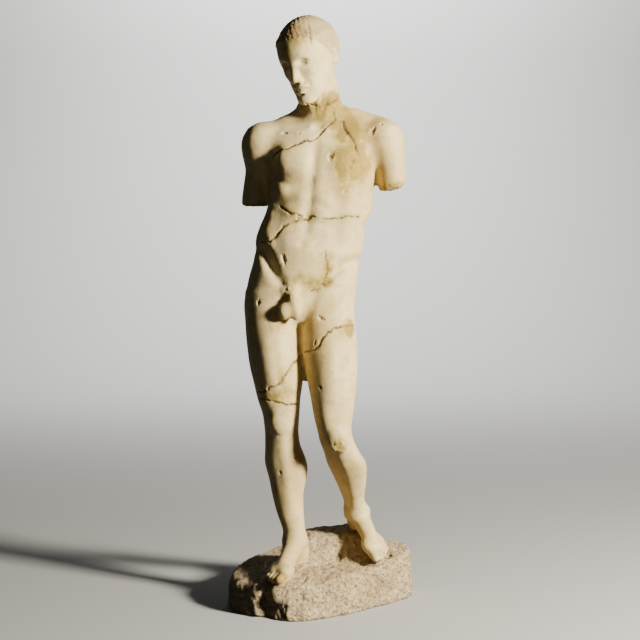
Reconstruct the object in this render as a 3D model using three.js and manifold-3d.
// A life-size marble statue of a nude youth, after the ancient manner, on the rock that it was carved with.
// The arms are broken off above the elbow, and the figure and its rock are one block of stone.
//
// The body is a distance field: a few lofts, egg shapes and tapered bars are joined with soft fillets,
// and then pressed in and built up by touches of the carver's hand. The surface is where the field is zero.
// Millimetres, +Z up, the figure faces -Y, and the origin is under the middle of the rock.
import * as THREE from "three";
import { mergeVertices } from "three/addons/utils/BufferGeometryUtils.js";
import Module from "manifold-3d";

// Driving dimensions
const FIGURE_HEIGHT = 1725; // crown to sole
const PLINTH_LENGTH = 592; // along X
const PLINTH_WIDTH = 452; // along Y
const PLINTH_SEAT = 128; // from the ground to the middle of the right sole
const PLINTH_EDGE = 24; // the rounding of the rock's top edge

// The drawing that the shapes below were made on, in millimetres: how tall the figure was drawn, the size of the
// rock and its seat, and where the middle of the rock was
const DRAWN_HEIGHT = 1725;
const DRAWN_LENGTH = 592;
const DRAWN_WIDTH = 452;
const DRAWN_SEAT = 128;
const DRAWN_MIDDLE = [4, 65];

// How finely the stone is sampled, and how many triangles are kept
const CELL = 8;
const TRIANGLES = 9600;

const { min, max, abs, sqrt, PI } = Math;
const clamp = (value, low, high) => min(max(value, low), high);
const radians = (degrees) => (degrees * PI) / 180;
const ease = (t) => t * t * (3 - 2 * t);
const size = (x, y, z = 0) => sqrt(x * x + y * y + z * z);

// Two distances joined, with a fillet about soft wide between them
function join(a, b, soft) {
  const share = max(soft - abs(a - b), 0) / soft;
  return min(a, b) - (share * share * soft) / 4;
}

// Smooth curves through rows of numbers, where the first number of a row is the place along the curve
function curveThrough(rows) {
  const sorted = [...rows].sort((a, b) => a[0] - b[0]);
  const slope = (i, k) => {
    const before = sorted[max(i - 1, 0)];
    const after = sorted[min(i + 1, sorted.length - 1)];
    return (after[k] - before[k]) / (after[0] - before[0]);
  };
  return (place) => {
    const s = clamp(place, sorted[0][0], sorted.at(-1)[0]);
    let i = 0;
    while (i < sorted.length - 2 && s > sorted[i + 1][0]) i++;
    const [a, b] = [sorted[i], sorted[i + 1]];
    const span = b[0] - a[0];
    const t = (s - a[0]) / span;
    return a.map((from, k) => {
      if (k === 0) return s;
      const rise = ease(t) * (b[k] - from);
      const bend = t * (1 - t) * ((1 - t) * slope(i, k) - t * slope(i + 1, k)) * span;
      return from + rise + bend;
    });
  };
}

// How far a point is outside a box, given as its low and high corners
function outside([low, high], x, y, z) {
  return max(low[0] - x, x - high[0], low[1] - y, y - high[1], low[2] - z, z - high[2]);
}
const boxAround = (points, reach) => [
  [0, 1, 2].map((k) => min(...points.map((p) => p[k])) - reach),
  [0, 1, 2].map((k) => max(...points.map((p) => p[k])) + reach),
];

// A solid whose level slices are ovals. A row is height, middle x, middle y, and the reach from that middle
// to -x, +x, -y and +y. square is 2 for an oval and more for a boxier slice.
function loft(rows, { soft = 20, square = 2 } = {}) {
  const step = 2;
  const heights = rows.map((row) => row[0]);
  const [low, high] = [min(...heights), max(...heights)];
  const curve = curveThrough(rows);
  const slices = [];
  for (let h = low; h <= high + 2 * step; h += step) {
    const [here, next] = [curve(h), curve(h + step)];
    const leans = [3, 4, 5, 6].map((k) => {
      const middle = k < 5 ? 1 : 2;
      const way = k % 2 ? -1 : 1;
      return (next[k] - here[k] + way * (next[middle] - here[middle])) / step;
    });
    slices.push([...here, ...leans.map((lean) => lean * lean)]);
  }
  const slice = new Float64Array(11);
  const distance = (x, y, z) => {
    const place = (clamp(z, low, high) - low) / step;
    const below = Math.floor(place);
    const [a, b] = [slices[below], slices[below + 1]];
    for (let k = 1; k < 11; k++) slice[k] = a[k] + (place - below) * (b[k] - a[k]);
    const dx = x - slice[1];
    const dy = y - slice[2];
    const [i, j] = [dx < 0 ? 3 : 4, dy < 0 ? 5 : 6];
    const u = abs(dx) / slice[i];
    const v = abs(dy) / slice[j];
    const share = square === 2 ? size(u, v) : (u ** square + v ** square) ** (1 / square);
    const lean = (slice[i + 4] * u * u + slice[j + 4] * v * v) / (u * u + v * v + 1e-6);
    const side = (share > 0.02 ? size(dx, dy) * (1 - 1 / share) : -slice[3]) / sqrt(1 + lean);
    const beyond = max(z - high, low - z);
    return side > 0 && beyond > 0 ? size(side, beyond) : max(side, beyond);
  };
  const corners = rows.flatMap(([h, x, y, left, right, ahead, behind]) => [
    [x - left, y - ahead, h],
    [x + right, y + behind, h],
  ]);
  return { distance, soft, box: boxAround(corners, 4) };
}

// A rotation about X, then Y, then Z, in degrees, as the rows that carry a point into the turned axes
function turnedAxes([x, y, z] = [0, 0, 0]) {
  const turn = new THREE.Euler(radians(x), radians(y), radians(z), "ZYX");
  const e = new THREE.Matrix4().makeRotationFromEuler(turn).elements;
  return [e.slice(0, 3), e.slice(4, 7), e.slice(8, 11)];
}
const along = (axis, x, y, z) => axis[0] * x + axis[1] * y + axis[2] * z;

// An egg shape
function egg(at, radii, { turn, soft = 20 } = {}) {
  const [right, behind, up] = turnedAxes(turn);
  const distance = (x, y, z) => {
    const [dx, dy, dz] = [x - at[0], y - at[1], z - at[2]];
    const p = along(right, dx, dy, dz) / radii[0];
    const q = along(behind, dx, dy, dz) / radii[1];
    const r = along(up, dx, dy, dz) / radii[2];
    const near = size(p, q, r);
    return near < 1e-3 ? -min(...radii) : (near * (near - 1)) / size(p / radii[0], q / radii[1], r / radii[2]);
  };
  return { distance, soft, box: boxAround([at], max(...radii)) };
}

// A round bar from one point to another, with a radius at each
function bar(from, to, radiusFrom, radiusTo, { soft = 20 } = {}) {
  const d = to.map((v, k) => v - from[k]);
  const length2 = along(d, ...d);
  const distance = (x, y, z) => {
    const [dx, dy, dz] = [x - from[0], y - from[1], z - from[2]];
    const t = clamp(along(d, dx, dy, dz) / length2, 0, 1);
    return size(dx - d[0] * t, dy - d[1] * t, dz - d[2] * t) - radiusFrom - (radiusTo - radiusFrom) * t;
  };
  return { distance, soft, box: boxAround([from, to], max(radiusFrom, radiusTo)) };
}

// A touch moves the surface out by rise, or in where rise is negative. A lump is round.
function lump(at, reach, rise, turn) {
  const axes = turnedAxes(turn);
  const far = max(...reach);
  return (x, y, z) => {
    const [dx, dy, dz] = [x - at[0], y - at[1], z - at[2]];
    if (abs(dx) > far || abs(dy) > far || abs(dz) > far) return 0;
    let q = 0;
    for (let k = 0; k < 3; k++) q += (along(axes[k], dx, dy, dz) / reach[k]) ** 2;
    return q < 1 ? rise * (1 - q) ** 3 : 0;
  };
}

// A line is a long touch through points, soft on both sides, that fades at its ends. Points of two numbers are
// drawn in x and z, and stand for every y.
function line(points, width, rise) {
  const flat = points[0].length === 2;
  const path = points.map((p) => (flat ? [p[0], 0, p[1]] : p));
  const legs = path.slice(1).map((to, i) => {
    const d = to.map((v, k) => v - path[i][k]);
    return { from: path[i], d, length2: along(d, ...d), length: size(...d) };
  });
  const whole = legs.reduce((sum, leg) => sum + leg.length, 0);
  const box = boxAround(path, width);
  return (x, Y, z) => {
    const y = flat ? 0 : Y;
    if (outside(box, x, y, z) > 0) return 0;
    let best = width;
    let place = 0;
    let run = 0;
    for (const { from, d, length2, length } of legs) {
      const [dx, dy, dz] = [x - from[0], y - from[1], z - from[2]];
      const t = clamp(along(d, dx, dy, dz) / length2, 0, 1);
      const away = size(dx - d[0] * t, dy - d[1] * t, dz - d[2] * t);
      if (away < best) {
        best = away;
        place = run + t * length;
      }
      run += length;
    }
    if (best >= width) return 0;
    return rise * ease(1 - best / width) * ease(clamp((4 * min(place, whole - place)) / whole + 0.15, 0, 1));
  };
}

// A touch drawn in x and z on the front of the body only, or on its back
const fade = (depth) => ease(clamp(depth / 40 + 0.5, 0, 1));
const front = (touch, middle = 0) => (x, y, z) => y > middle + 20 ? 0 : touch(x, y, z) * fade(middle - y);
const back = (touch, middle = 0) => (x, y, z) => y < middle - 20 ? 0 : touch(x, y, z) * fade(y - middle);

// Shapes and touches that share a frame: a place, and a turn of it in degrees. mirror swaps its left and right.
// Nothing of it is farther than reach from its place.
function piece({ at = [0, 0, 0], turn, size: grown = 1, mirror = 1, reach = Infinity, soft = 12, shapes, touches }) {
  const axes = turnedAxes(turn);
  const distance = (X, Y, Z) => {
    const [dx, dy, dz] = [X - at[0], Y - at[1], Z - at[2]];
    const away = size(dx, dy, dz);
    if (away > 2 * reach) return away - reach;
    const x = (mirror * along(axes[0], dx, dy, dz)) / grown;
    const y = along(axes[1], dx, dy, dz) / grown;
    const z = along(axes[2], dx, dy, dz) / grown;
    let sum = 1e6;
    for (const shape of shapes) {
      if (outside(shape.box, x, y, z) < sum + shape.soft) sum = join(sum, shape.distance(x, y, z), shape.soft);
    }
    if (abs(sum) > 60) return grown * sum;
    for (const touch of touches) sum -= touch(x, y, z);
    return grown * sum;
  };
  return { distance, soft };
}

// The trunk, from the hips to the roots of the neck
const trunk = loft(
  [
    [1574, 22, 38, 88, 92, 22, 32],
    [1548, 30, 34, 152, 150, 40, 50],
    [1518, 14, 26, 184, 184, 62, 72],
    [1488, 6, 19, 184, 184, 86, 92],
    [1430, 3, 10, 172, 174, 108, 112],
    [1380, 0, 6, 167, 169, 114, 112],
    [1330, -1, 2, 163, 165, 112, 102],
    [1280, -2, -4, 161, 165, 102, 92],
    [1245, -10, -8, 162, 164, 97, 88],
    [1205, -26, -11, 163, 163, 92, 82],
    [1165, -34, -12, 165, 166, 92, 81],
    [1100, -43, -8, 166, 166, 94, 94],
    [1050, -54, -2, 169, 170, 96, 106],
    [1000, -63, 2, 170, 173, 92, 112],
    [950, -68, 4, 160, 170, 84, 106],
    [905, -68, 6, 130, 130, 64, 92],
  ],
  { square: 2.3 },
);

// The leg that bears the weight, on the figure's right
const standingLeg = loft(
  [
    [1000, -150, 4, 80, 78, 78, 92],
    [950, -152, 4, 85, 84, 88, 98],
    [882, -152, 2, 83, 84, 92, 96],
    [820, -146, -2, 83, 83, 92, 90],
    [770, -139, -4, 83, 80, 88, 86],
    [719, -133, -5, 77, 77, 82, 82],
    [668, -130, -5, 68, 67, 74, 76],
    [618, -124, -5, 58, 58, 66, 66],
    [590, -123, -6, 55, 55, 63, 59],
    [560, -122, -3, 53, 53, 58, 54],
    [516, -119, 6, 56, 56, 54, 58],
    [465, -110, 14, 66, 65, 54, 66],
    [440, -106, 17, 65, 65, 53, 66],
    [414, -104, 19, 60, 60, 51, 62],
    [363, -104, 20, 50, 50, 46, 52],
    [312, -98, 21, 44, 44, 42, 42],
    [262, -88, 21, 37, 37, 38, 36],
    [236, -83, 21, 34, 34, 36, 38],
    [205, -80, 24, 33, 33, 38, 40],
  ],
  { soft: 24 },
);

// The relaxed leg, bent at the knee, with its shin going back and out
const relaxedLeg = loft(
  [
    [1000, 12, 4, 80, 84, 80, 90],
    [960, 16, 4, 84, 84, 84, 96],
    [920, 22, 2, 84, 84, 88, 98],
    [870, 25, -6, 87, 86, 90, 96],
    [820, 28, -16, 87, 87, 90, 90],
    [770, 32, -27, 82, 83, 86, 86],
    [720, 36, -39, 76, 76, 80, 80],
    [670, 39, -51, 69, 68, 74, 74],
    [620, 39, -61, 60, 60, 67, 66],
    [575, 44, -66, 54, 52, 61, 62],
    [540, 50, -60, 52, 54, 61, 66],
    [505, 64, -36, 54, 56, 66, 76],
    [462, 82, 2, 61, 61, 66, 88],
    [404, 96, 52, 51, 50, 60, 72],
    [343, 105, 104, 37, 37, 50, 54],
    [313, 110, 128, 33, 33, 47, 47],
    [283, 114, 148, 34, 36, 44, 44],
    [262, 114, 158, 32, 34, 40, 40],
  ],
  { soft: 24 },
);

// The stumps of the arms
const rightArm = loft(
  [
    [1500, -178, 18, 40, 44, 46, 46],
    [1470, -188, 30, 49, 50, 55, 55],
    [1430, -190, 42, 49, 48, 57, 56],
    [1380, -194, 52, 43, 44, 52, 52],
    [1330, -201, 58, 43, 44, 49, 50],
    [1284, -206, 61, 43, 43, 49, 49],
    [1274, -207, 61, 39, 40, 45, 45],
    [1270, -207, 61, 33, 34, 38, 38],
  ],
  { soft: 26 },
);
const leftArm = loft(
  [
    [1505, 196, 6, 44, 42, 46, 46],
    [1475, 205, 4, 50, 49, 55, 55],
    [1430, 211, 2, 48, 48, 57, 56],
    [1380, 219, 0, 45, 48, 54, 52],
    [1345, 222, -2, 44, 44, 50, 50],
    [1328, 219, -2, 38, 34, 42, 42],
    [1316, 212, -2, 26, 24, 30, 30],
  ],
  { soft: 26 },
);

const sides = [-1, 1];

const body = piece({
  shapes: [
    trunk,
    standingLeg,
    relaxedLeg,
    egg([-130, 56, 978], [80, 76, 88], { soft: 30 }),
    egg([2, 52, 962], [80, 74, 84], { soft: 30 }),
    rightArm,
    leftArm,
    egg([-184, 20, 1460], [54, 60, 66], { soft: 40 }),
    egg([194, 4, 1468], [57, 60, 72], { soft: 40 }),
    bar([6, 34, 1490], [-8, -2, 1650], 70, 60, { soft: 44 }),
    egg([-122, -60, 598], [26, 10, 30], { soft: 24 }),
    egg([56, -118, 548], [26, 12, 30], { soft: 24 }),
    egg([-102, -74, 1010], [38, 31, 34], { soft: 20 }),
    egg([-103, -104, 950], [26, 28, 34], { soft: 16 }),
    egg([-77, -100, 947], [24, 26, 35], { soft: 16 }),
    bar([-91, -84, 1004], [-86, -108, 974], 16, 15, { soft: 18 }),
  ],
  touches: [
    // Chest
    lump([-86, -100, 1408], [104, 90, 78], 13),
    lump([80, -100, 1412], [104, 90, 78], 13),
    lump([-126, -84, 1410], [60, 80, 84], 8),
    lump([-118, -84, 1320], [56, 80, 76], 6),
    front(line([[-160, 1392], [-130, 1352], [-92, 1332], [-52, 1334], [-24, 1356]], 38, -6)),
    front(line([[-14, 1356], [24, 1340], [78, 1338], [130, 1360], [160, 1398]], 38, -6)),
    front(line([[-10, 1490], [-20, 1440], [-23, 1380], [-28, 1316], [-38, 1240], [-54, 1150]], 30, -7)),
    lump([-8, -58, 1502], [30, 60, 26], -12),
    // Belly
    front(line([[-136, 1262], [-84, 1308], [-27, 1336], [30, 1310], [84, 1262]], 34, -4)),
    front(line([[-116, 1320], [-128, 1240], [-138, 1160], [-138, 1112]], 36, -5)),
    front(line([[56, 1316], [50, 1240], [46, 1180], [44, 1120]], 36, -5)),
    front(line([[-120, 1214], [-40, 1220], [50, 1212]], 30, -3)),
    lump([-58, -100, 1112], [105, 90, 92], 10),
    lump([-57, -108, 1150], [18, 40, 22], -7),
    // Hips, with the furrow that runs from the flank to the groin
    front(line([[-206, 1150], [-166, 1118], [-150, 1084], [-134, 1050], [-108, 1026], [-80, 1014]], 32, -10)),
    front(line([[-180, 1192], [-168, 1136], [-152, 1092], [-136, 1054]], 24, -7)),
    front(line([[146, 1126], [110, 1104], [62, 1088], [32, 1058], [2, 1024], [-38, 1008]], 32, -9)),
    lump([-168, -30, 1164], [64, 90, 56], 7),
    lump([112, -30, 1160], [64, 90, 56], 5),
    front(line([[-142, 1040], [-110, 985], [-92, 930], [-82, 890]], 30, -8)),
    front(line([[-6, 1018], [-24, 985], [-46, 930], [-60, 890]], 30, -8)),
    // Shoulders
    line([[-134, -86, 1506], [-150, -84, 1450], [-160, -60, 1390]], 36, -8),
    line([[146, -86, 1510], [160, -84, 1450], [170, -60, 1390]], 36, -8),
    // Back
    back(line([[4, 1540], [2, 1400], [-6, 1300], [-26, 1200], [-50, 1080]], 38, -11)),
    lump([-88, 110, 1430], [80, 70, 90], 9),
    lump([94, 110, 1436], [80, 70, 90], 9),
    lump([-120, 76, 1330], [74, 80, 120], 6),
    lump([118, 76, 1330], [74, 80, 120], 6),
    lump([-64, 80, 1180], [42, 60, 130], 6),
    lump([6, 80, 1180], [42, 60, 130], 6),
    line([[-62, 104, 1068], [-64, 134, 990], [-64, 126, 930], [-66, 90, 880]], 34, -24),
    back(line([[-214, 896], [-140, 870], [-84, 884]], 30, -9)),
    back(line([[-46, 876], [14, 850], [88, 872]], 30, -9)),
    lump([-222, 26, 990], [40, 70, 64], -6),
    lump([100, 26, 975], [40, 70, 64], -6),
    // Thighs and knees
    lump([-150, -84, 800], [64, 60, 150], 6),
    lump([-90, -46, 650], [40, 60, 64], 7),
    lump([-168, -40, 680], [40, 60, 74], 5),
    lump([34, -106, 780], [64, 60, 150], 6),
    lump([18, -104, 620], [40, 60, 60], 6),
    lump([86, -94, 640], [40, 60, 70], 5),
    lump([-122, 56, 588], [36, 40, 60], -7),
    line([[-120, -52, 560], [-106, -34, 430], [-92, -16, 300]], 26, 4),
    lump([-70, 44, 474], [44, 60, 90], 6),
    lump([-146, 44, 492], [40, 60, 84], 4),
    line([[60, -100, 500], [88, -32, 400], [106, 60, 320]], 30, 5),
  ],
});

// The head, in a frame at the middle of the skull between the ears, facing -Y
const head = piece({
  at: [-30, -28, 1714],
  turn: [19, -5, -35],
  size: 1.06,
  reach: 180,
  soft: 14,
  shapes: [
    egg([0, 4, 38], [81, 103, 90], { soft: 10 }),
    loft(
      [
        [70, 0, -8, 68, 68, 78, 80],
        [24, 0, -8, 69, 69, 83, 80],
        [0, 0, -10, 67, 67, 78, 80],
        [-30, 0, -18, 63, 63, 70, 70],
        [-60, 0, -30, 54, 54, 59, 66],
        [-85, 0, -40, 41, 41, 49, 56],
        [-104, 0, -50, 26, 26, 36, 40],
      ],
      { soft: 26 },
    ),
    egg([0, -74, -94], [22, 18, 17], { soft: 16 }),
    bar([0, -84, 22], [0, -103, -30], 8, 11, { soft: 12 }),
    ...sides.map((s) => egg([11 * s, -93, -36], [9, 12, 8], { soft: 6 })),
    egg([0, -86, -57], [23, 12, 6], { soft: 6 }),
    egg([0, -84, -68], [18, 12, 7], { soft: 4 }),
    ...sides.map((s) => egg([31 * s, -68, 6], [16, 15, 14], { soft: 5 })),
    ...sides.map((s) => egg([75 * s, 8, 2], [8, 17, 30], { turn: [-12, 0, 12 * s], soft: 6 })),
  ],
  touches: [
    ...sides.map((s) => lump([28 * s, -84, 12], [27, 34, 19], -11)),
    ...sides.map((s) => line([[8 * s, -90, 26], [30 * s, -88, 32], [52 * s, -72, 26]], 12, 4)),
    ...sides.map((s) => lump([44 * s, -66, -18], [34, 34, 28], 5)),
    lump([0, -92, -44], [7, 20, 12], -3),
    lump([0, -86, -79], [20, 20, 9], -4),
    ...sides.map((s) => lump([77 * s, 4, 4], [8, 12, 20], -6)),
    (x, y, z) => 3.5 * ease(clamp((z + 0.66 * y - 18) / 10, 0, 1)),
  ],
});

// A foot, in a frame on the ground under its ankle, with its toes to -Y and its little toe to +X
function foot({ at, turn, mirror, ankle }) {
  const toes = [
    [[-23, -132, 18], [-20, -190, 14], 17, 13],
    [[-3, -136, 15], [1, -186, 11], 12, 10],
    [[13, -128, 14], [19, -170, 10], 11, 9.5],
    [[27, -114, 13], [34, -150, 9], 10.5, 9],
    [[38, -98, 12], [45, -130, 9], 10, 9],
  ];
  return piece({
    at,
    turn,
    mirror,
    size: 0.94,
    reach: 240,
    soft: 22,
    shapes: [
      bar(ankle, [0, 32, 38], 34, 33),
      egg([0, 38, 30], [31, 34, 32], { soft: 20 }),
      bar([ankle[0] / 2, -2, 68], [-3, -100, 32], 33, 26, { soft: 30 }),
      bar([16, 20, 20], [30, -92, 15], 20, 15, { soft: 24 }),
      egg([-18, -124, 22], [27, 34, 21], { soft: 20 }),
      egg([20, -106, 18], [26, 40, 18], { soft: 20 }),
      ...toes.map(([from, to, root, tip]) => bar(from, to, root, tip, { soft: 5 })),
      egg([-31, 2, 88], [10, 13, 14], { soft: 16 }),
      egg([31, 12, 78], [10, 12, 14], { soft: 16 }),
    ],
    touches: [lump([-30, -40, 12], [26, 50, 24], -7)],
  });
}
const rightFoot = foot({ at: [-81, 24, 131], turn: [6, 0, -21], mirror: -1, ankle: [0, 6, 86] });
const leftFoot = foot({ at: [128, 172, 206], turn: [20, 0, 22], mirror: 1, ankle: [-23, 13, 85] });

// The swells of the rock that carry the raised left foot and the toes of the right
const footRest = piece({
  soft: 8,
  shapes: [bar([120, 184, 138], [186, 64, 92], 62, 54), bar([-92, -20, 84], [-124, -118, 74], 44, 38)],
  touches: [],
});

// The whole figure at its own height, on the rock
const scale = FIGURE_HEIGHT / DRAWN_HEIGHT;
const parts = [body, head, rightFoot, leftFoot, footRest];
function figure(X, Y, Z) {
  const x = X / scale + DRAWN_MIDDLE[0];
  const y = Y / scale + DRAWN_MIDDLE[1];
  const z = (Z - PLINTH_SEAT) / scale + DRAWN_SEAT;
  let sum = 1e6;
  for (const { distance, soft } of parts) sum = join(sum, distance(x, y, z), soft);
  return sum * scale;
}

// The rock. Its edge on the ground, seen from above, is in the drawing's own millimetres.
const EDGE = [
  [-291, 60], [-282, 0], [-262, -46], [-228, -90], [-186, -112], [-154, -116], [-132, -140], [-100, -160],
  [-50, -156], [22, -118], [84, -80], [126, -34], [186, 14], [240, 62], [278, 110], [298, 164], [296, 216],
  [262, 262], [190, 286], [120, 290], [30, 276], [-60, 262], [-140, 240], [-214, 196], [-268, 130],
];
const edgeLegs = EDGE.map(([x, y], i) => {
  const [toX, toY] = EDGE[(i + 1) % EDGE.length];
  return [x, y, toX - x, toY - y, (toX - x) ** 2 + (toY - y) ** 2];
});

// How far a point is outside the edge, or how deep inside it where the number is below zero
function edgeDistance(x, y) {
  let nearest = Infinity;
  let inside = false;
  for (const [fromX, fromY, dx, dy, length2] of edgeLegs) {
    const t = clamp(((x - fromX) * dx + (y - fromY) * dy) / length2, 0, 1);
    nearest = min(nearest, size(x - fromX - dx * t, y - fromY - dy * t));
    if (fromY > y !== fromY + dy > y && x < fromX + ((y - fromY) * dx) / dy) inside = !inside;
  }
  return inside ? -nearest : nearest;
}

const ramp = (value, from, to) => ease(clamp((value - from) / (to - from), 0, 1));
const crevice = line([[-40, 20, 0], [-18, 42, 0], [30, 70, 0], [66, 108, 0], [78, 140, 0]], 30, -18);
const cleft = line([[-156, -150, 0], [-158, -104, 0], [-150, -60, 0]], 36, -16);

function rockTop(x, y) {
  const slope = 124 + 0.13 * y - 0.18 * max(0, -x - 90);
  const mound = (48 + 0.08 * x) * ramp(x, -128, -44) * ramp(x, 214, 128) * ramp(y, 66, 166);
  return slope + mound + crevice(x, y, 0) + cleft(x, y, 0);
}

// Uneven waves in the rock, the same ones at every build: chance numbers at the corners of a grid, and smooth
// between them
function chance(i, j, k) {
  const mixed = Math.imul(i * 374761 + j * 668265 + k * 224682 + 9973, 1274126177);
  return ((mixed ^ (mixed >>> 15)) & 65535) / 65535;
}
function waves(x, y, z) {
  const [i, j, k] = [Math.floor(x), Math.floor(y), Math.floor(z)];
  const [u, v, w] = [ease(x - i), ease(y - j), ease(z - k)];
  let sum = 0;
  for (let c = 0; c < 8; c++) {
    const [a, b, d] = [c & 1, (c >> 1) & 1, c >> 2];
    sum += chance(i + a, j + b, k + d) * (a ? u : 1 - u) * (b ? v : 1 - v) * (d ? w : 1 - w);
  }
  return sum;
}
const knocks = (x, y, z) => 16 * abs(waves(x / 62, y / 62, z / 44) - 0.5) + 9 * abs(waves(x / 27, y / 27, z / 22) - 0.5) - 6;

function plinth(X, Y, Z) {
  const x = (X * DRAWN_LENGTH) / PLINTH_LENGTH + DRAWN_MIDDLE[0];
  const y = (Y * DRAWN_WIDTH) / PLINTH_WIDTH + DRAWN_MIDDLE[1];
  const z = (Z * DRAWN_SEAT) / PLINTH_SEAT;
  if (z > 300) return z - 240;
  const side = edgeDistance(x, y) - 3 + 0.06 * z;
  const top = (z - rockTop(x, y)) * 0.9;
  return -join(-side, -top, PLINTH_EDGE) + knocks(x, y, z);
}

const stone = (x, y, z) => join(figure(x, y, z), plinth(x, y, z), 14);

// The surface where a field is zero, inside a box. Each cell is split into six tetrahedra round its long
// diagonal, so that the mesh always closes. Cells far from the surface are skipped block by block.
function surfaceOf(field, box, cell) {
  const block = 8;
  const counts = box.getSize(new THREE.Vector3()).toArray().map((s) => block * Math.ceil(s / cell / block));
  const [nx, ny] = [counts[0] + 1, counts[1] + 1];
  const values = new Float32Array(nx * ny * (counts[2] + 1)).fill(NaN);
  const place = (i, k) => box.min.getComponent(k) + i * cell;
  const valueAt = (i, j, k) => {
    const n = i + nx * j + nx * ny * k;
    if (Number.isNaN(values[n])) values[n] = field(place(i, 0), place(j, 1), place(k, 2)) || 1e-6;
    return values[n];
  };
  const corners = [0, 1, 2, 3, 4, 5, 6, 7].map((c) => [c & 1, (c >> 1) & 1, c >> 2]);
  const orders = [[0, 1, 2], [1, 2, 0], [2, 0, 1], [0, 2, 1], [1, 0, 2], [2, 1, 0]];
  const tetrahedra = orders.map(([a, b, c], i) => {
    const chain = [0, 1 << a, (1 << a) | (1 << b), 7];
    return i < 3 ? chain : [chain[1], chain[0], chain[2], chain[3]];
  });
  const positions = [];
  const triangles = [];
  const made = new Map();
  const cornerAt = new Array(8);
  const levels = new Array(8);
  const crossing = (a, b) => {
    const [low, high] = cornerAt[a] < cornerAt[b] ? [a, b] : [b, a];
    const key = cornerAt[low] * 8 + (low ^ high);
    let index = made.get(key);
    if (index === undefined) {
      const t = clamp(levels[low] / (levels[low] - levels[high]), 0.02, 0.98);
      const n = cornerAt[low];
      const from = [n % nx, Math.floor(n / nx) % ny, Math.floor(n / (nx * ny))];
      index = positions.length / 3;
      for (let k = 0; k < 3; k++) positions.push(place(from[k] + t * (corners[high][k] - corners[low][k]), k));
      made.set(key, index);
    }
    return index;
  };
  const tetrahedron = (corner) => {
    const inside = corner.filter((c) => levels[c] < 0);
    if (inside.length === 0 || inside.length === 4) return;
    const [a, b, c, d] = corner;
    const mask = corner.reduce((sum, v, i) => sum + (levels[v] < 0 ? 1 << i : 0), 0);
    const faces = {
      1: [[a, b, a, c, a, d]],
      2: [[b, a, b, d, b, c]],
      4: [[c, a, c, b, c, d]],
      8: [[d, a, d, c, d, b]],
      3: [[a, c, a, d, b, d], [a, c, b, d, b, c]],
      5: [[a, b, c, b, c, d], [a, b, c, d, a, d]],
      6: [[b, a, b, d, c, d], [b, a, c, d, c, a]],
    };
    for (const f of faces[mask] ?? faces[15 - mask]) {
      const triangle = [crossing(f[0], f[1]), crossing(f[2], f[3]), crossing(f[4], f[5])];
      if (!faces[mask]) triangle.reverse();
      triangles.push(...triangle);
    }
  };
  const cellAt = (i, j, k) => {
    let inside = 0;
    for (let c = 0; c < 8; c++) {
      const [di, dj, dk] = corners[c];
      cornerAt[c] = i + di + nx * (j + dj) + nx * ny * (k + dk);
      levels[c] = valueAt(i + di, j + dj, k + dk);
      if (levels[c] < 0) inside++;
    }
    if (inside > 0 && inside < 8) tetrahedra.forEach(tetrahedron);
  };
  const visit = (i, j, k, span) => {
    if (span === 1) {
      cellAt(i, j, k);
      return;
    }
    const half = span / 2;
    const middle = field(place(i + half, 0), place(j + half, 1), place(k + half, 2));
    if (abs(middle) > 1.9 * cell * span) return;
    for (const [di, dj, dk] of corners) visit(i + half * di, j + half * dj, k + half * dk, half);
  };
  for (let k = 0; k < counts[2]; k += block)
    for (let j = 0; j < counts[1]; j += block) for (let i = 0; i < counts[0]; i += block) visit(i, j, k, block);
  return { positions: Float64Array.from(positions), triangles: Int32Array.from(triangles) };
}

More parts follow.
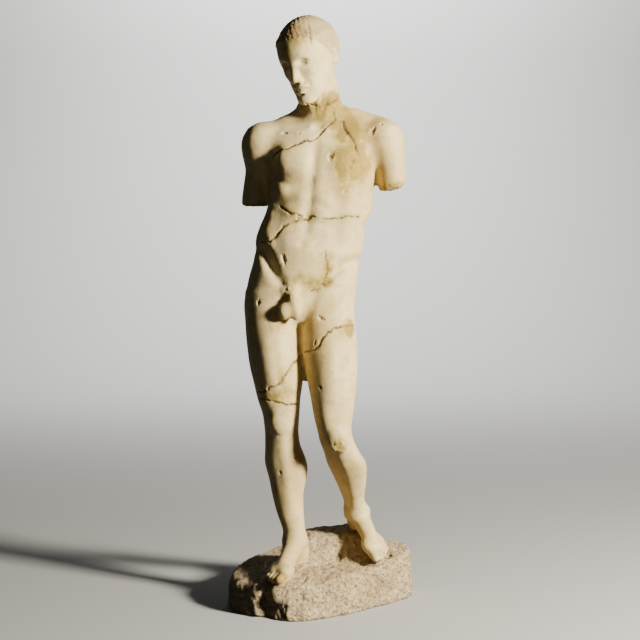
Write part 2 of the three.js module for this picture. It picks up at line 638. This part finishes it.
// The mesh with fewer triangles. Edges are drawn together in the order of the least harm, which is the summed
// squared distance to the planes of the faces that they stand for, times careAt where the carving is fine.
function simplify({ positions, triangles }, target, careAt) {
  const points = positions.length / 3;
  const quadrics = new Float64Array(points * 10);
  const facesAt = Array.from({ length: points }, () => []);
  const gone = new Uint8Array(triangles.length / 3);
  const moves = new Int32Array(points);
  const seen = new Int32Array(points);
  let mark = 0;

  // The face's corner, or the place that the corner would move to
  const normal = new Float64Array(3);
  const cornersOf = new Float64Array(9);
  const normalOf = (f, moved = -1) => {
    for (let c = 0; c < 3; c++) {
      const v = triangles[3 * f + c];
      for (let k = 0; k < 3; k++) cornersOf[3 * c + k] = v === moved ? best[k] : positions[3 * v + k];
    }
    const [ux, uy, uz] = [cornersOf[3] - cornersOf[0], cornersOf[4] - cornersOf[1], cornersOf[5] - cornersOf[2]];
    const [vx, vy, vz] = [cornersOf[6] - cornersOf[0], cornersOf[7] - cornersOf[1], cornersOf[8] - cornersOf[2]];
    normal[0] = uy * vz - uz * vy;
    normal[1] = uz * vx - ux * vz;
    normal[2] = ux * vy - uy * vx;
    return size(normal[0], normal[1], normal[2]) + 1e-12;
  };

  // The place that does the least harm in the stead of points a and b goes into best
  const best = new Float64Array(3);
  const q = new Float64Array(10);
  const harmOf = (a, b) => {
    for (let k = 0; k < 10; k++) q[k] = quadrics[10 * a + k] + quadrics[10 * b + k];
    const hold = 1e-3 * (q[0] + q[4] + q[7]);
    const mx = (positions[3 * a] + positions[3 * b]) / 2;
    const my = (positions[3 * a + 1] + positions[3 * b + 1]) / 2;
    const mz = (positions[3 * a + 2] + positions[3 * b + 2]) / 2;
    const [xx, yy, zz] = [q[0] + hold, q[4] + hold, q[7] + hold];
    const [xy, xz, yz] = [q[1], q[2], q[5]];
    const [bx, by, bz] = [q[3] - hold * mx, q[6] - hold * my, q[8] - hold * mz];
    const c00 = yy * zz - yz * yz;
    const c01 = xz * yz - xy * zz;
    const c02 = xy * yz - xz * yy;
    const c11 = xx * zz - xz * xz;
    const c12 = xy * xz - xx * yz;
    const c22 = xx * yy - xy * xy;
    const whole = xx * c00 + xy * c01 + xz * c02;
    const x = -(c00 * bx + c01 * by + c02 * bz) / whole;
    const y = -(c01 * bx + c11 * by + c12 * bz) / whole;
    const z = -(c02 * bx + c12 * by + c22 * bz) / whole;
    best[0] = x;
    best[1] = y;
    best[2] = z;
    const squares = q[0] * x * x + q[4] * y * y + q[7] * z * z + q[9];
    const products = xy * x * y + xz * x * z + yz * y * z + q[3] * x + q[6] * y + q[8] * z;
    return squares + 2 * products;
  };

  // The edges wait in a heap, the least harm first. An edge whose ends have moved since then is passed over.
  const edges = { a: [], b: [], harm: [], age: [] };
  const heap = [];
  const wait = (a, b) => {
    const id = edges.a.push(a) - 1;
    edges.b.push(b);
    edges.harm.push(harmOf(a, b));
    edges.age.push(moves[a] + moves[b]);
    let i = heap.push(id) - 1;
    while (i > 0) {
      const parent = (i - 1) >> 1;
      if (edges.harm[heap[parent]] <= edges.harm[id]) break;
      heap[i] = heap[parent];
      i = parent;
    }
    heap[i] = id;
  };
  const next = () => {
    const first = heap[0];
    const last = heap.pop();
    const count = heap.length;
    let i = 0;
    for (let child = 1; child < count; child = 2 * i + 1) {
      if (child + 1 < count && edges.harm[heap[child + 1]] < edges.harm[heap[child]]) child++;
      if (edges.harm[heap[child]] >= edges.harm[last]) break;
      heap[i] = heap[child];
      i = child;
    }
    if (count) heap[i] = last;
    return first;
  };
  const around = (v) => {
    mark++;
    seen[v] = mark;
    const found = [];
    for (const f of facesAt[v])
      for (let c = 0; c < 3; c++) {
        const w = triangles[3 * f + c];
        if (seen[w] !== mark) found.push(w);
        seen[w] = mark;
      }
    return found;
  };
  const has = (f, v) => triangles[3 * f] === v || triangles[3 * f + 1] === v || triangles[3 * f + 2] === v;
  const folds = (v, other) => {
    for (const f of facesAt[v]) {
      if (has(f, other)) continue;
      const before = normalOf(f);
      const [x, y, z] = normal;
      const after = normalOf(f, v);
      if (along(normal, x, y, z) < 0.3 * before * after) return true;
    }
    return false;
  };

  for (let f = 0; f < gone.length; f++) {
    const twiceArea = normalOf(f);
    const [a, b, c] = [normal[0] / twiceArea, normal[1] / twiceArea, normal[2] / twiceArea];
    const d = -(a * cornersOf[0] + b * cornersOf[1] + c * cornersOf[2]);
    const w = twiceArea * careAt(cornersOf[0], cornersOf[1], cornersOf[2]);
    const plane = [a * a, a * b, a * c, a * d, b * b, b * c, b * d, c * c, c * d, d * d];
    for (let i = 0; i < 3; i++) {
      const v = triangles[3 * f + i];
      facesAt[v].push(f);
      for (let k = 0; k < 10; k++) quadrics[10 * v + k] += w * plane[k];
    }
  }
  for (let f = 0; f < gone.length; f++)
    for (let i = 0; i < 3; i++) {
      const [a, b] = [triangles[3 * f + i], triangles[3 * f + ((i + 1) % 3)]];
      if (a < b) wait(a, b);
    }

  let left = gone.length;
  while (left > target && heap.length) {
    const id = next();
    const [a, b] = [edges.a[id], edges.b[id]];
    if (moves[a] + moves[b] !== edges.age[id]) continue;
    const nearB = around(b);
    around(a);
    const shared = nearB.filter((v) => seen[v] === mark && v !== a).length;
    if (shared !== 2) continue;
    harmOf(a, b);
    if (folds(a, b) || folds(b, a)) continue;
    for (let k = 0; k < 3; k++) positions[3 * a + k] = best[k];
    for (let k = 0; k < 10; k++) quadrics[10 * a + k] += quadrics[10 * b + k];
    for (const f of facesAt[b]) {
      if (has(f, a)) {
        gone[f] = 1;
        left--;
      } else {
        for (let c = 0; c < 3; c++) if (triangles[3 * f + c] === b) triangles[3 * f + c] = a;
        facesAt[a].push(f);
      }
    }
    facesAt[b] = [];
    facesAt[a] = facesAt[a].filter((f) => !gone[f]);
    moves[a]++;
    moves[b] += 1e6;
    for (const v of around(a)) {
      facesAt[v] = facesAt[v].filter((f) => !gone[f]);
      wait(a, v);
    }
  }
  const kept = [];
  for (let f = 0; f < gone.length; f++) if (!gone[f]) kept.push(...triangles.subarray(3 * f, 3 * f + 3));
  return { positions, triangles: kept };
}

// The block of stone, cut off flat where it stands
const wasm = await Module();
wasm.setup();

function solidOf(geometry) {
  const bare = geometry.clone();
  bare.deleteAttribute("normal");
  bare.deleteAttribute("uv");
  const merged = mergeVertices(bare, 1e-4);
  const { array } = merged.attributes.position;
  return new wasm.Manifold(
    new wasm.Mesh({ numProp: 3, vertProperties: array, triVerts: new Uint32Array(merged.index.array) }),
  );
}

function geometryOf(solid) {
  const { vertProperties, triVerts } = solid.getMesh();
  const geometry = new THREE.BufferGeometry();
  geometry.setAttribute("position", new THREE.BufferAttribute(vertProperties, 3));
  geometry.setIndex(new THREE.BufferAttribute(triVerts, 1));
  geometry.computeVertexNormals();
  return geometry;
}

function carve() {
  const below = 5 * CELL;
  const reach = [0.66 * PLINTH_LENGTH, 0.66 * PLINTH_WIDTH];
  const high = PLINTH_SEAT + FIGURE_HEIGHT + 2 * CELL;
  const box = new THREE.Box3(
    new THREE.Vector3(-reach[0], -reach[1], -below),
    new THREE.Vector3(reach[0], reach[1], high),
  );
  const floor = -below / 2;
  const block = surfaceOf((x, y, z) => max(stone(x, y, z), floor - z), box, CELL);
  const headFrom = PLINTH_SEAT + 0.845 * FIGURE_HEIGHT;
  const feetTo = PLINTH_SEAT + 0.07 * FIGURE_HEIGHT;
  const care = (x, y, z) => (z > headFrom ? 4 : z < feetTo ? 0.6 : 1);
  const few = simplify(block, TRIANGLES, care);
  const rough = new THREE.BufferGeometry();
  rough.setAttribute("position", new THREE.Float32BufferAttribute(few.positions, 3));
  rough.setIndex(few.triangles);
  const underground = new THREE.BoxGeometry(4 * PLINTH_LENGTH, 4 * PLINTH_WIDTH, 4 * below);
  underground.translate(0, 0, -2 * below);
  const statue = geometryOf(solidOf(rough).subtract(solidOf(underground)));
  statue.computeBoundingBox();
  const middle = statue.boundingBox.getCenter(new THREE.Vector3());
  return statue.translate(-middle.x, -middle.y, 0);
}

const marble = new THREE.MeshStandardMaterial({ color: 0xd9cdb0, roughness: 0.55, metalness: 0 });
const statue = new THREE.Mesh(carve(), marble);
statue.name = "statue_on_rock_plinth";

const group = new THREE.Group();
group.add(statue);
export default group;
